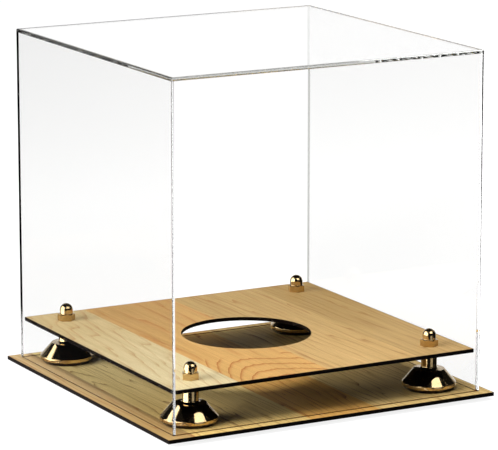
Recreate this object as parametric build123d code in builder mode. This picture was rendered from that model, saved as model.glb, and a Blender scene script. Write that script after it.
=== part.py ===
from build123d import *
from math import cos, pi, radians, tan
import os

# Display case for one large ball: a clear cover over two thin boards held apart by turned risers.
# Sizes are in millimetres. +Z is up, -Y is the front, and the origin is the middle of the
# footprint at table height.

# Boards, cut from thin veneered sheet
base_side = 304.8
base_thickness = 3.2
platform_thickness = 3.2
board_edge_break = 0.25
seat_hole_diameter = 110.0

# Clear cover, five flat sheets bonded into one piece, set in from the edges of the base board
cover_margin = 8.8
cover_height = 287.5
cover_wall = 3.0
cover_edge_round = 1.0
cover_rim_round = 0.4
cover_air_film = 0.05
platform_clearance = 1.2

# Risers, turned from bar, sizes given from the foot upwards, axes set in from the platform's edges
riser_inset = 27.0
riser_height = 33.0
riser_foot_radius = 20.0
riser_rim_radius = 22.7
riser_undercut_height = 3.2
riser_rim_height = 2.8
riser_rim_round = 0.6
riser_shoulder_radius = 13.1
riser_shoulder_height = 17.0
riser_shoulder_round = 0.5
riser_shoulder_rise = 0.5
riser_neck_fillet = 1.8
riser_neck_radius = 6.7

# Cap nuts, one on top of the platform above each riser
hexagon_sides = 6
quarter_turn = 90.0
nut_across_flats = 13.0
nut_hex_height = 5.8
nut_chamfer_angle = 30.0
nut_waist_fillet = 0.4
nut_dome_radius = 5.6
nut_height = 14.8
nut_bore_depth = 10.5
nut_drill_point_angle = 118.0

# Connector bolts, from under the base board up into the nuts
thread_diameter = 8.0
thread_clearance = 0.05
thread_engagement = 9.0
bolt_hole_clearance = 0.25
bolt_end_chamfer = 0.8
bolt_head_diameter = 17.0
bolt_head_thickness = 2.0
bolt_head_chamfer = 0.6
bolt_socket_across_flats = 5.0
bolt_socket_depth = 4.0

# Bumper feet under the base board
foot_height = 3.5
foot_top_radius = 6.0
foot_bottom_radius = 5.2
foot_edge_round = 0.6
foot_inset = 20.0

# Heights of the stack, from the table upwards
base_bottom = foot_height
base_top = base_bottom + base_thickness
platform_bottom = base_top + riser_height
platform_top = platform_bottom + platform_thickness

# Sizes that follow from the ones above
cover_side = base_side - 2 * cover_margin
cover_inside = cover_side - 2 * cover_wall
cover_foot = base_top + cover_air_film
platform_side = cover_inside - 2 * platform_clearance
riser_spacing = platform_side - 2 * riser_inset
foot_spacing = base_side - 2 * foot_inset
bolt_hole_radius = thread_diameter / 2 + bolt_hole_clearance

# Which way each corner lies from the middle, and how far its nut happens to be turned
corners = {
    "front_left": (-1, -1),
    "front_right": (1, -1),
    "rear_right": (1, 1),
    "rear_left": (-1, 1),
}
nut_turns = {
    "front_left": 6.0,
    "front_right": 27.0,
    "rear_right": 12.0,
    "rear_left": 37.0,
}

os.makedirs("parts", exist_ok=True)


def save(part, name):
    """Label a finished piece and write it as its own file."""
    part.label = name
    export_step(part, f"parts/{name}.step")


def station(corner, spacing, height):
    """Point on the axis of one corner's hardware."""
    side_x, side_y = corners[corner]
    return Vector(side_x * spacing / 2, side_y * spacing / 2, height)


def upright(origin):
    """Vertical plane through an axis, for the profile of a turned piece."""
    return Plane(origin=origin, x_dir=(1, 0, 0), z_dir=(0, -1, 0))


def make_base_board():
    """Larger board, bored for the four bolts."""
    with BuildPart() as board:
        with BuildSketch(Plane.XY.offset(base_bottom)):
            Rectangle(base_side, base_side)
        extrude(amount=base_thickness)
        chamfer(board.edges(), length=board_edge_break)
        with BuildSketch(Plane.XY.offset(base_bottom)):
            with GridLocations(riser_spacing, riser_spacing, 2, 2):
                Circle(bolt_hole_radius)
        extrude(amount=base_thickness, mode=Mode.SUBTRACT)
    return board.part


def make_platform_board():
    """Board that fits inside the cover, with the round hole that the ball sits in."""
    with BuildPart() as board:
        with BuildSketch(Plane.XY.offset(platform_bottom)):
            Rectangle(platform_side, platform_side)
            Circle(seat_hole_diameter / 2, mode=Mode.SUBTRACT)
        extrude(amount=platform_thickness)
        chamfer(board.edges(), length=board_edge_break)
        with BuildSketch(Plane.XY.offset(platform_bottom)):
            with GridLocations(riser_spacing, riser_spacing, 2, 2):
                Circle(bolt_hole_radius)
        extrude(amount=platform_thickness, mode=Mode.SUBTRACT)
    return board.part


def make_cover():
    """Five-sided clear box: outer edges barely eased, inner corners sharp, rim eased where it stands."""
    with BuildPart() as cover:
        with BuildSketch(Plane.XY.offset(cover_foot)):
            Rectangle(cover_side, cover_side)
        extrude(amount=cover_height)
        rim = cover.faces().sort_by(Axis.Z)[0].edges()
        fillet(cover.edges() - rim, radius=cover_edge_round)
        with BuildSketch(Plane.XY.offset(cover_foot)):
            Rectangle(cover_inside, cover_inside)
        extrude(amount=cover_height - cover_wall, mode=Mode.SUBTRACT)
        fillet(cover.faces().sort_by(Axis.Z)[0].edges(), radius=cover_rim_round)
    return cover.part


def make_riser(foot_centre):
    """Turned riser: undercut foot, upright rim, straight cone flank, flat shoulder, slim neck."""
    rim_top = riser_undercut_height + riser_rim_height
    with BuildPart() as riser:
        with BuildSketch(upright(foot_centre)):
            with BuildLine():
                outline = FilletPolyline(
                    (riser_foot_radius, 0),
                    (riser_rim_radius, riser_undercut_height),
                    (riser_rim_radius, rim_top),
                    (riser_shoulder_radius, riser_shoulder_height),
                    (riser_neck_radius, riser_shoulder_height + riser_shoulder_rise),
                    (riser_neck_radius, riser_height),
                    radius=[riser_rim_round, riser_rim_round, riser_shoulder_round, riser_neck_fillet],
                )
                Polyline(
                    outline @ 1,
                    (bolt_hole_radius, riser_height),
                    (bolt_hole_radius, 0),
                    outline @ 0,
                )
            make_face()
        revolve(axis=Axis(foot_centre, (0, 0, 1)))
    return riser.part


def make_cap_nut(seat_centre, turn):
    """Domed cap nut: hexagon with turned corners, waist, barrel and half-round dome, blind bore."""
    corner_radius = nut_across_flats / 2 / cos(pi / hexagon_sides)
    chamfer_drop = (corner_radius - nut_across_flats / 2) * tan(radians(nut_chamfer_angle))
    barrel_top = nut_height - nut_dome_radius
    bore_radius = thread_diameter / 2
    drill_point = bore_radius / tan(radians(nut_drill_point_angle / 2))
    nut_axis = Axis(seat_centre, (0, 0, 1))
    with BuildPart() as nut:
        with BuildSketch(Plane.XY.move(Location(seat_centre))):
            RegularPolygon(nut_across_flats / 2, hexagon_sides, major_radius=False, rotation=turn)
        extrude(amount=nut_hex_height)
        with BuildSketch(upright(seat_centre)):
            with BuildLine():
                Polyline(
                    (0, 0),
                    (corner_radius, 0),
                    (corner_radius, nut_hex_height - chamfer_drop),
                    (nut_across_flats / 2, nut_hex_height),
                    (0, nut_hex_height),
                    close=True,
                )
            make_face()
        revolve(axis=nut_axis, mode=Mode.INTERSECT)
        with BuildSketch(upright(seat_centre)):
            with BuildLine():
                waist = TangentArc(
                    (nut_dome_radius + nut_waist_fillet, nut_hex_height),
                    (nut_dome_radius, nut_hex_height + nut_waist_fillet),
                    tangent=(-1, 0),
                )
                barrel = Line(waist @ 1, (nut_dome_radius, barrel_top))
                dome = JernArc(barrel @ 1, barrel % 1, nut_dome_radius, quarter_turn)
                Polyline(
                    dome @ 1,
                    (0, 0),
                    (nut_dome_radius + nut_waist_fillet, 0),
                    waist @ 0,
                )
            make_face()
        revolve(axis=nut_axis)
        with BuildSketch(upright(seat_centre)):
            with BuildLine():
                Polyline(
                    (0, 0),
                    (bore_radius, 0),
                    (bore_radius, nut_bore_depth),
                    (0, nut_bore_depth + drill_point),
                    close=True,
                )
            make_face()
        revolve(axis=nut_axis, mode=Mode.SUBTRACT)
    return nut.part


def make_bolt(head_seat):
    """Connector bolt: wide flat head under the base board, hexagon socket, plain shank."""
    shank_radius = thread_diameter / 2 - thread_clearance
    shank_length = base_thickness + riser_height + platform_thickness + thread_engagement
    head_radius = bolt_head_diameter / 2
    with BuildPart() as bolt:
        with BuildSketch(upright(head_seat)):
            with BuildLine():
                Polyline(
                    (0, -bolt_head_thickness),
                    (head_radius - bolt_head_chamfer, -bolt_head_thickness),
                    (head_radius, -bolt_head_thickness + bolt_head_chamfer),
                    (head_radius, 0),
                    (shank_radius, 0),
                    (shank_radius, shank_length - bolt_end_chamfer),
                    (shank_radius - bolt_end_chamfer, shank_length),
                    (0, shank_length),
                    close=True,
                )
            make_face()
        revolve(axis=Axis(head_seat, (0, 0, 1)))
        socket_mouth = head_seat - Vector(0, 0, bolt_head_thickness)
        with BuildSketch(Plane.XY.move(Location(socket_mouth))):
            RegularPolygon(bolt_socket_across_flats / 2, hexagon_sides, major_radius=False)
        extrude(amount=bolt_socket_depth, mode=Mode.SUBTRACT)
    return bolt.part


def make_foot(table_point):
    """Low bumper foot, stuck to the underside of the base board."""
    with BuildPart() as foot:
        with BuildSketch(upright(table_point)):
            with BuildLine():
                FilletPolyline(
                    (0, 0),
                    (foot_bottom_radius, 0),
                    (foot_top_radius, foot_height),
                    radius=foot_edge_round,
                )
                Polyline((foot_top_radius, foot_height), (0, foot_height), (0, 0))
            make_face()
        revolve(axis=Axis(table_point, (0, 0, 1)))
    return foot.part


save(make_base_board(), "base_board")
save(make_platform_board(), "platform_board")
save(make_cover(), "cover")
for corner in corners:
    save(make_riser(station(corner, riser_spacing, base_top)), f"riser_{corner}")
    nut_seat = station(corner, riser_spacing, platform_top)
    save(make_cap_nut(nut_seat, nut_turns[corner]), f"cap_nut_{corner}")
    save(make_bolt(station(corner, riser_spacing, base_bottom)), f"bolt_{corner}")
    save(make_foot(station(corner, foot_spacing, 0)), f"foot_{corner}")
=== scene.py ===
import bmesh
import bpy
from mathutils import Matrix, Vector


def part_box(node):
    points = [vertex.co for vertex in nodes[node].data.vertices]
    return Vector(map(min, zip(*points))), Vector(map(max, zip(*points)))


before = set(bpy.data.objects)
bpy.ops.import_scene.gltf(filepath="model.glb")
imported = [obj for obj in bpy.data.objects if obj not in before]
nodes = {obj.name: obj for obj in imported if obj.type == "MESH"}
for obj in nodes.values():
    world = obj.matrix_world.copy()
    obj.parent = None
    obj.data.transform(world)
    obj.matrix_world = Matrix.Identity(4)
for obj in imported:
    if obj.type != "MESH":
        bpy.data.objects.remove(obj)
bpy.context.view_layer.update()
corners = ("front_left", "front_right", "rear_right", "rear_left")
print("frame loaded:", len(nodes), "nodes")


def screen(*levels):
    # red, green and blue as read off a screen, 0 to 255, to the linear values that Blender works in
    return tuple(c / 3294.6 if c <= 10.3 else ((c / 255 + 0.055) / 1.055) ** 2.4 for c in levels)


def grey(level):
    return (level, level, level)


class Value:
    # a shader socket that takes part in plain Python sums
    def __init__(self, tree, socket):
        self.tree = tree
        self.socket = socket

    def sum(self, operation, *terms):
        node = self.tree.nodes.new("ShaderNodeMath")
        node.operation = operation
        for place, term in enumerate(terms):
            feed(self.tree, node.inputs[place], term)
        return Value(self.tree, node.outputs[0])

    def __add__(self, other):
        return self.sum("ADD", self, other)

    def __radd__(self, other):
        return self.sum("ADD", other, self)

    def __sub__(self, other):
        return self.sum("SUBTRACT", self, other)

    def __rsub__(self, other):
        return self.sum("SUBTRACT", other, self)

    def __mul__(self, other):
        return self.sum("MULTIPLY", self, other)

    def __rmul__(self, other):
        return self.sum("MULTIPLY", other, self)

    def __truediv__(self, other):
        return self.sum("DIVIDE", self, other)

    def __pow__(self, other):
        return self.sum("POWER", self, other)

    def __gt__(self, other):
        return self.sum("GREATER_THAN", self, other)

    def __lt__(self, other):
        return self.sum("LESS_THAN", self, other)

    def __abs__(self):
        return self.sum("ABSOLUTE", self)

    def fraction(self):
        return self.sum("FRACT", self)

    def orMore(self, other):
        return self.sum("MAXIMUM", self, other)


def feed(tree, socket, given):
    if isinstance(given, Value):
        tree.links.new(given.socket, socket)
    elif socket.type == "RGBA" and len(given) == 3:
        socket.default_value = (*given, 1)
    else:
        socket.default_value = given


class Shader:
    # one node tree under construction: a material's or the world's
    def __init__(self, owner):
        owner.use_nodes = True
        self.tree = owner.node_tree
        self.tree.nodes.clear()

    def node(self, kind, settings=None, sockets=None, out=None):
        made = self.tree.nodes.new("ShaderNode" + kind)
        for name, setting in (settings or {}).items():
            if name == "stops":
                fillRamp(made.color_ramp, setting)
            else:
                setattr(made, name, setting)
        for name, given in (sockets or {}).items():
            found = [s for s in made.inputs if s.enabled and s.name == name]
            feed(self.tree, found[0] if found else made.inputs[name], given)
        shown = [s for s in made.outputs if s.enabled and out in (None, s.name)]
        return Value(self.tree, shown[0]) if shown else None

    def mix(self, mask, under, over, blend="MIX"):
        sockets = {"Factor": mask, "A": under, "B": over}
        return self.node("Mix", {"data_type": "RGBA", "blend_type": blend}, sockets)

    def either(self, mask, first, second):
        return self.node("MixShader", {}, {0: mask, 1: first, 2: second})

    def smooth(self, given, low, high):
        sockets = {"Value": given, "From Min": low, "From Max": high}
        return self.node("MapRange", {"interpolation_type": "SMOOTHSTEP"}, sockets)

    def ramp(self, given, stops):
        return self.node("ValToRGB", {"stops": stops}, {"Fac": given})

    def noise(self, place, scale, detail=2.0, roughness=0.5):
        sockets = {"Vector": place, "Scale": scale, "Detail": detail, "Roughness": roughness}
        return self.node("TexNoise", {}, sockets, "Fac")

    def stretch(self, place, scale, shift=(0, 0, 0)):
        return self.node("Mapping", {}, {"Vector": place, "Location": shift, "Scale": scale})

    def millimetres(self):
        place = self.node("TexCoord", out="Object")
        return self.node("VectorMath", {"operation": "SCALE"}, {"Vector": place, "Scale": 1000.0})

    def axis(self, vector, name):
        return self.node("SeparateXYZ", {}, {"Vector": vector}, name)

    def upward(self):
        # how far a face looks up: 1 is straight up, 0 sideways, -1 straight down
        return self.axis(self.node("NewGeometry", out="True Normal"), "Z")

    def ray(self, what):
        return self.node("LightPath", out=what)

    def show(self, surface):
        self.node("OutputMaterial", {}, {"Surface": surface})


def fillRamp(ramp, stops):
    while len(ramp.elements) > 1:
        ramp.elements.remove(ramp.elements[-1])
    for number, (place, colour) in enumerate(stops):
        stop = ramp.elements[0] if number == 0 else ramp.elements.new(place)
        stop.position = place
        stop.color = (*colour, 1)


def newMaterial(name):
    material = bpy.data.materials.new(name)
    return material, Shader(material)


def dress(names, material):
    for name in names:
        for slot in nodes[name].material_slots:
            slot.material = material


# boards: strips of pale veneer side by side, grain along Y, all cut edges burnt black, undersides black
# strips run from left to right, each up to "right" in mm, and change tone from "front" to "back"; on the
# platform the darker back tones are partly the wood's own and partly painted shade of the ball and of light
# falling off towards the back
# their fine dark lines are "gap" mm apart and lean by "slant"
# "arch" nests the lines near the front round one x, by its reach to the left and right and its drop there
# "shift" moves a board's noise, so that no two are alike
boards = {
    "platform_board": {
        "shift": 111.0,
        # painted shade: these back tones are darker, partly for the ball's shade and the fall of light
        # towards the back
        "strips": (
            {
                "right": -83.0, "gap": 10.0, "strength": 0.65, "slant": -0.18,
                "front": screen(228, 210, 164), "back": screen(212, 188, 138), "line": screen(176, 122, 64),
            },
            {
                "right": 0.0, "gap": 19.5, "strength": 1.0, "slant": 0.0, "arch": (-43.0, 24.0, 38.0, 0.8),
                "front": screen(218, 171, 103), "back": screen(204, 162, 102), "line": screen(172, 88, 28),
            },
            {
                "right": 85.0, "gap": 8.0, "strength": 0.7, "slant": 0.03,
                "front": screen(214, 177, 118), "back": screen(192, 160, 106), "line": screen(158, 100, 46),
            },
            {
                "right": 160.0, "gap": 8.5, "strength": 0.6, "slant": 0.05,
                "front": screen(203, 168, 112), "back": screen(180, 148, 94), "line": screen(148, 98, 48),
            },
        ),
    },
    "base_board": {
        "shift": 407.0,
        "strips": (
            {
                "right": -128.0, "gap": 7.0, "strength": 0.8, "slant": 0.02,
                "front": screen(180, 147, 94), "back": screen(192, 164, 118), "line": screen(150, 86, 34),
            },
            {
                "right": -23.0, "gap": 6.5, "strength": 0.9, "slant": 0.03,
                "front": screen(230, 196, 122), "back": screen(246, 220, 152), "line": screen(140, 94, 42),
            },
            {
                "right": 42.0, "gap": 7.5, "strength": 0.9, "slant": -0.02,
                "front": screen(220, 168, 90), "back": screen(214, 166, 94), "line": screen(150, 80, 28),
            },
            {
                "right": 160.0, "gap": 8.0, "strength": 0.9, "slant": 0.02,
                "front": screen(232, 198, 128), "back": screen(220, 186, 120), "line": screen(148, 96, 42),
            },
        ),
    },
}
# what all the veneer shares: noise scales are per mm, drawn out along Y, and lengths are in mm
grain = {
    "drawnOut": 0.09, "wander": 0.05, "ripple": 0.16, "fade": 0.11, "broad": 0.035,
    "streaks": 0.5, "streaksDrawnOut": 0.02,
    "flecks": 1.6, "flecksDrawnOut": 0.12,
    "lineWander": 40.0, "lineRipple": 0.7, "lineFade": (0.25, 0.55), "lineSharpness": 7.0,
    "archWander": 16.0, "archRipple": 0.5, "archCurve": 2.2,
    "archEnd": (-76.0, -60.0), "archEndWander": 60.0, "behindArch": 0.5,
    "tone": (-120.0, 100.0),  # where the front tone ends and the back tone begins, along Y
    "broadShade": 0.3, "streakShade": 0.45, "fleckShade": 0.2,
    "greenShade": 1.15, "blueShade": 1.5,  # darker wood is warmer too
    "scorch": screen(84, 52, 22), "scorchWidth": (0.35, 1.3), "scorchRipple": 0.5, "scorchStrength": 0.75,
    "topFace": (0.9, 0.99),  # faces that look less far up are burnt
    "soot": 0.7, "char": ((0.3, screen(4, 2, 2)), (0.75, screen(13, 8, 5))),
    "roughness": 0.52, "fleckRoughness": 0.12, "charRoughness": 0.2, "gloss": 0.05, "bend": 1.5,
    "relief": 0.0001, "reliefStrength": 0.25, "lineRelief": 0.2,
}


def grainLines(shader, strip, x, y, wander, ripple, fade):
    # each line darkens slowly and ends sharply, as late wood does
    count = (x + y * strip["slant"] + wander * grain["lineWander"]) / strip["gap"]
    count = count + ripple * grain["lineRipple"]
    lines = count.fraction() ** grain["lineSharpness"] * shader.smooth(fade, *grain["lineFade"])
    if "arch" not in strip:
        return lines
    # nested arches near the front, straight lines behind them
    centre, toLeft, toRight, drop = strip["arch"]
    across = ((x - centre) / toRight).orMore((centre - x) / toLeft)
    count = (y + wander * grain["archWander"]) / strip["gap"]
    count = count + across ** grain["archCurve"] * drop + ripple * grain["archRipple"]
    arches = count.fraction() ** grain["lineSharpness"]
    near = 1 - shader.smooth(y + wander * grain["archEndWander"], *grain["archEnd"])
    return arches * near + lines * (1 - near) * grain["behindArch"]


def veneer(name, board):
    material, shader = newMaterial(name + "_veneer")
    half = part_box(name)[1].x * 1000
    mm = shader.millimetres()
    x = shader.axis(mm, "X")
    y = shader.axis(mm, "Y")
    along = shader.stretch(mm, (1, grain["drawnOut"], 1), (0, 0, board["shift"]))
    wander = shader.noise(along, grain["wander"]) - 0.5
    ripple = shader.noise(along, grain["ripple"]) - 0.5
    fade = shader.noise(along, grain["fade"], 1.0)
    broad = shader.noise(along, grain["broad"], 3.0) - 0.5
    drawn = shader.stretch(mm, (1, grain["streaksDrawnOut"], 1))
    streaks = shader.noise(drawn, grain["streaks"], 3.0, 0.6) - 0.5
    drawn = shader.stretch(mm, (1, grain["flecksDrawnOut"], 1))
    flecks = shader.noise(drawn, grain["flecks"], 3.0, 0.65) - 0.5

    tone = shader.smooth(y, *grain["tone"])
    colour = None
    left = -half
    for strip in board["strips"]:
        lines = grainLines(shader, strip, x, y, wander, ripple, fade)
        # blend from the front tone to the back tone along Y; on the platform the darker back is partly
        # painted shade
        tint = shader.mix(tone, strip["front"], strip["back"])
        tint = shader.mix(lines * strip["strength"], tint, strip["line"])
        colour = tint if colour is None else shader.mix(x > left, colour, tint)
        left = strip["right"]
    shade = 1 + broad * grain["broadShade"] + streaks * grain["streakShade"] + flecks * grain["fleckShade"]
    green = shade ** grain["greenShade"]
    blue = shade ** grain["blueShade"]
    shading = shader.node("CombineColor", {}, {"Red": shade, "Green": green, "Blue": blue})
    colour = shader.mix(1.0, colour, shading, "MULTIPLY")

    # the top face is singed along its edges, and every other face is burnt black
    inset = half - abs(x).orMore(abs(y))
    scorch = 1 - shader.smooth(inset + ripple * grain["scorchRipple"], *grain["scorchWidth"])
    colour = shader.mix(scorch * grain["scorchStrength"], colour, grain["scorch"])
    burnt = 1 - shader.smooth(shader.upward(), *grain["topFace"])
    char = shader.ramp(shader.noise(mm, grain["soot"], 3.0), grain["char"])
    colour = shader.mix(burnt, colour, char)
    rough = grain["roughness"] + flecks * grain["fleckRoughness"] + burnt * grain["charRoughness"]
    # the relief is faint enough for the last strip's lines to do for the whole board
    height = flecks - lines * grain["lineRelief"]
    bump = shader.node("Bump", {}, {
        "Strength": grain["reliefStrength"], "Distance": grain["relief"], "Height": height,
    })
    surface = shader.node("BsdfPrincipled", {}, {
        "Base Color": colour, "Roughness": rough, "Normal": bump,
        "IOR": grain["bend"], "Specular IOR Level": grain["gloss"],
    })
    shader.show(surface)
    return material


for name, board in boards.items():
    dress([name], veneer(name, board))
print("boards veneered")


# gold: risers and cap nuts, polished plate with the faintest turning marks
# it clouds a little from place to place, and the undercut at the foot is rougher and carries painted shade:
# its downward faces are coloured dark for the contact shadow they mirror
gold = {
    "colour": screen(173, 152, 115),
    "cloud": screen(163, 140, 101),
    "cloudScale": 0.18,
    "roughness": 0.034,
    "cloudRoughness": 0.04,
    # painted shade colour for the undercut
    "undercut": screen(34, 20, 10),
    "undercutFace": (-0.55, -0.2),
    "undercutRoughness": 0.3,
    "marks": (0.05, 0.05, 5.0),
    "markDepth": 0.00005,
    "markStrength": 0.02,
}


def polishedGold():
    material, shader = newMaterial("polished_gold_plate")
    mm = shader.millimetres()
    cloud = shader.noise(mm, gold["cloudScale"], 3.0)
    marks = shader.noise(shader.stretch(mm, gold["marks"]), 1.0)
    colour = shader.mix(cloud, gold["colour"], gold["cloud"])
    # painted shade: faces looking down are coloured dark, standing in for the contact shadow they mirror
    under = 1 - shader.smooth(shader.upward(), *gold["undercutFace"])
    colour = shader.mix(under, colour, gold["undercut"])
    rough = gold["roughness"] + cloud * gold["cloudRoughness"] + under * gold["undercutRoughness"]
    bump = shader.node("Bump", {}, {
        "Strength": gold["markStrength"], "Distance": gold["markDepth"], "Height": marks,
    })
    surface = shader.node("BsdfPrincipled", {}, {
        "Base Color": colour, "Metallic": 1.0, "Roughness": rough, "Normal": bump,
    })
    shader.show(surface)
    return material


dress(["riser_" + c for c in corners] + ["cap_nut_" + c for c in corners], polishedGold())
print("risers and nuts plated")


# bolts: clouded zinc
bolts = {
    "zinc": ((0.3, screen(172, 170, 160)), (0.7, screen(206, 204, 196))),
    "cloudScale": 0.5,
    "roughness": 0.3,
    "cloudRoughness": 0.12,
}

# feet: moulded rubber with a fine grain
feet = {
    "rubber": ((0.3, screen(18, 18, 18)), (0.7, screen(34, 33, 32))),
    "grainScale": 4.0,
    "roughness": 0.75,
    "relief": 0.0001,
    "reliefStrength": 0.4,
}


def boltZinc():
    material, shader = newMaterial("bolt_zinc")
    cloud = shader.noise(shader.millimetres(), bolts["cloudScale"], 3.0)
    rough = bolts["roughness"] + cloud * bolts["cloudRoughness"]
    surface = shader.node("BsdfPrincipled", {}, {
        "Base Color": shader.ramp(cloud, bolts["zinc"]), "Metallic": 1.0, "Roughness": rough,
    })
    shader.show(surface)
    return material


def footRubber():
    material, shader = newMaterial("foot_rubber_black")
    fine = shader.noise(shader.millimetres(), feet["grainScale"], 4.0)
    bump = shader.node("Bump", {}, {
        "Strength": feet["reliefStrength"], "Distance": feet["relief"], "Height": fine,
    })
    surface = shader.node("BsdfPrincipled", {}, {
        "Base Color": shader.ramp(fine, feet["rubber"]), "Roughness": feet["roughness"], "Normal": bump,
    })
    shader.show(surface)
    return material


dress(["bolt_" + c for c in corners], boltZinc())
dress(["foot_" + c for c in corners], footRubber())
print("bolts and feet done")


# cover: clear cast sheet, straight through for lamps so that the boards inside stay lit, lengths in metres
cover = {
    "sheet": 0.003,
    "tint": (0.999, 0.999, 0.996),
    "mirror": grey(0.2),
    "bend": 1.49,
    "shade": grey(0.96),
    # grey of the joints, partly painted shade of the eased edges
    "jointAndEdgeShade": (0.34, 0.35, 0.33),
    # painted shade: the brown of the shadowed wood under the rim
    "rim": screen(96, 62, 24),
    "rimHeight": 0.0003,
    "rimRoughness": 0.5,
}


def clearSheet():
    material, shader = newMaterial("clear_sheet")
    low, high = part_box("cover")
    place = shader.node("TexCoord", out="Object")
    height = shader.axis(place, "Z")
    unmirrored = shader.ray("Glossy Depth") < 0.5
    # the sawn rim that the cover stands on is rough, and is coloured as a thin brown line: painted shade of
    # the shadowed wood beneath it, shown only to rays that weren't mirrored
    sawnRimPaintedShade = (height < low.z + cover["rimHeight"]) * unmirrored
    # bonded joints show as grey lines: all round the top, and down the corners where light leaves the
    # sheet; the grey is partly the joints' own colour and partly painted shade for what the eased edges
    # refract
    besideX = abs(shader.axis(place, "X")) > high.x - cover["sheet"]
    besideY = abs(shader.axis(place, "Y")) > high.y - cover["sheet"]
    roundTop = (height > high.z - cover["sheet"]) * besideX.orMore(besideY)
    upright = besideX * besideY * (shader.ray("Transmission Depth") > 0.5)
    jointAndEdgeShade = roundTop.orMore(upright) * unmirrored
    colour = shader.mix(jointAndEdgeShade, cover["tint"], cover["jointAndEdgeShade"])
    colour = shader.mix(sawnRimPaintedShade, colour, cover["rim"])
    sheet = shader.node("BsdfPrincipled", {}, {
        "Base Color": colour, "Metallic": sawnRimPaintedShade, "Roughness": sawnRimPaintedShade * cover["rimRoughness"],
        "IOR": cover["bend"], "Transmission Weight": 1.0, "Specular Tint": cover["mirror"],
    })
    straight = shader.node("BsdfTransparent", {}, {"Color": cover["shade"]})
    inside = shader.either(shader.ray("Is Diffuse Ray"), sheet, straight)
    shader.show(shader.either(shader.ray("Is Shadow Ray"), inside, straight))
    return material


dress(["cover"], clearSheet())
print("cover clear")


# studio: white floor and background, one wide strip at the left and soft light from above
# gold and clear sheets mirror a dark room with one square softbox and the pale patches of the surroundings
# a patch lies round the level direction "facing", where the cosine passes "edge", and fades out over "top"
# a mirrored lamp only shows in gold and sheets, and the others only light
studio = {
    "white": 1.0,
    "ambient": 0.015,
    "surroundings": (
        {"facing": (0.48, 0.877, 0.0), "edge": (0.72, 0.90), "top": (0.30, 0.54), "level": 1.0},
        {"facing": (-0.978, 0.208, 0.0), "edge": (0.745, 0.785), "top": (0.70, 0.76), "level": 5.5},
        {"facing": (0.139, -0.99, 0.0), "edge": (0.955, 0.965), "top": (-0.14, -0.04), "level": 0.8},
    ),
    "floor": {
        "size": 6.0, "near": grey(0.86), "far": grey(1.0), "fade": (0.25, 0.8),
        "shadowed": grey(0.3), "dim": grey(0.08),
    },
    "lamps": {
        "softbox": {"place": (0.326, -0.935, 1.075), "size": (1.05, 0.84), "watts": 12.0, "mirrored": True},
        "strip": {"place": (-1.3, 0.0, 0.42), "size": (1.4, 0.7), "watts": 36.0, "mirrored": False},
        "overhead": {"place": (0.0, -0.25, 1.6), "size": (1.3, 1.3), "watts": 21.5, "mirrored": False},
    },
    "aim": (0.0, 0.0, 0.1),
}


def floorWhite():
    material, shader = newMaterial("white_floor")
    look = studio["floor"]
    place = shader.node("TexCoord", out="Object")
    away = abs(shader.axis(place, "X")).orMore(abs(shader.axis(place, "Y")))
    far = shader.smooth(away, *look["fade"])
    # seen from the camera the floor glows white and keeps shadows, to other light it is dim
    seen = shader.ray("Is Camera Ray").orMore(shader.ray("Is Transmission Ray"))
    dim = shader.node("BsdfDiffuse", {}, {"Color": look["dim"]})
    shadowed = shader.node("BsdfDiffuse", {}, {"Color": look["shadowed"]})
    glow = shader.node("Emission", {}, {"Color": shader.mix(far, look["near"], look["far"])})
    white = shader.node("AddShader", {}, {0: shadowed, 1: glow})
    # what is mirrored looks past the floor into the room
    past = shader.node("BsdfTransparent", {}, {"Color": grey(1.0)})
    mirrored = shader.ray("Glossy Depth") > 0.5
    shader.show(shader.either(mirrored, shader.either(seen, dim, white), past))
    return material


def makeFloor():
    mesh = bpy.data.meshes.new("floor")
    build = bmesh.new()
    bmesh.ops.create_grid(build, x_segments=1, y_segments=1, size=studio["floor"]["size"] / 2)
    build.to_mesh(mesh)
    build.free()
    mesh.materials.append(floorWhite())
    floor = bpy.data.objects.new("floor", mesh)
    bpy.context.scene.collection.objects.link(floor)


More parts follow.
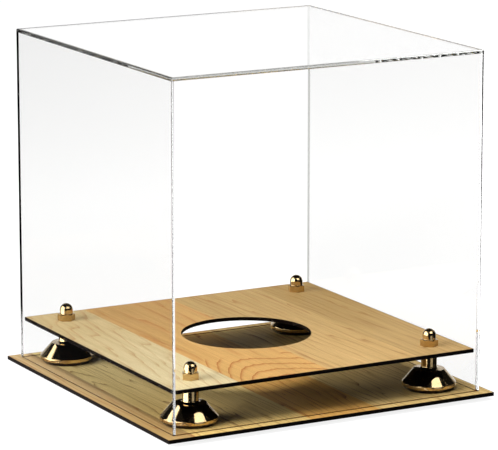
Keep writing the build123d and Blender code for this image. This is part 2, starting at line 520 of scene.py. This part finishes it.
def lightRoom():
    world = bpy.data.worlds.new("room")
    bpy.context.scene.world = world
    shader = Shader(world)
    way = shader.node("TexCoord", out="Generated")
    height = shader.axis(way, "Z")
    flat = shader.node("VectorMath", {"operation": "MULTIPLY"}, {0: way, 1: (1, 1, 0)})
    flat = shader.node("VectorMath", {"operation": "NORMALIZE"}, {0: flat})
    pale = 0.0
    for patch in studio["surroundings"]:
        sockets = {0: flat, 1: patch["facing"]}
        near = shader.node("VectorMath", {"operation": "DOT_PRODUCT"}, sockets, "Value")
        below = 1 - shader.smooth(height, *patch["top"])
        pale = pale + shader.smooth(near, *patch["edge"]) * below * patch["level"]
    mirrored = shader.ray("Glossy Depth") > 0.5
    seen = shader.ray("Is Camera Ray").orMore(shader.ray("Is Transmission Ray")) * (1 - mirrored)
    strength = seen * studio["white"] + mirrored * pale + (1 - seen) * studio["ambient"]
    surface = shader.node("Background", {}, {"Color": grey(1.0), "Strength": strength})
    shader.node("OutputWorld", {}, {"Surface": surface})
    world.cycles.sampling_method = "NONE"


def addLamp(name, lamp):
    data = bpy.data.lights.new(name, "AREA")
    data.shape = "RECTANGLE"
    data.size, data.size_y = lamp["size"]
    data.energy = lamp["watts"]
    made = bpy.data.objects.new(name, data)
    made.location = lamp["place"]
    made.rotation_euler = (Vector(studio["aim"]) - made.location).to_track_quat("-Z", "Y").to_euler()
    made.visible_diffuse = not lamp["mirrored"]
    made.visible_glossy = lamp["mirrored"]
    made.visible_transmission = lamp["mirrored"]
    bpy.context.scene.collection.objects.link(made)


makeFloor()
lightRoom()
for name, lamp in studio["lamps"].items():
    addLamp(name, lamp)
print("studio lit")


# camera: matched to the photograph; light runs a long way inside the clear sheets, so it may bounce often
view = {
    "place": (-1.2801, -2.34431, 0.71308),
    "towards": (0.46938, 0.85736, -0.21121),
    "sensor": 36.0,
    "lens": 234.66,
    "bounces": 64,
    "straightThrough": 16,
}
lens = bpy.data.cameras.new("camera")
lens.sensor_width = view["sensor"]
lens.lens = view["lens"]
camera = bpy.data.objects.new("camera", lens)
camera.location = view["place"]
camera.rotation_euler = Vector(view["towards"]).to_track_quat("-Z", "Y").to_euler()
scene = bpy.context.scene
scene.collection.objects.link(camera)
scene.camera = camera
scene.view_settings.view_transform = "Standard"
scene.cycles.max_bounces = view["bounces"]
scene.cycles.glossy_bounces = view["bounces"]
scene.cycles.transmission_bounces = view["bounces"]
scene.cycles.transparent_max_bounces = view["straightThrough"]
print("camera placed")
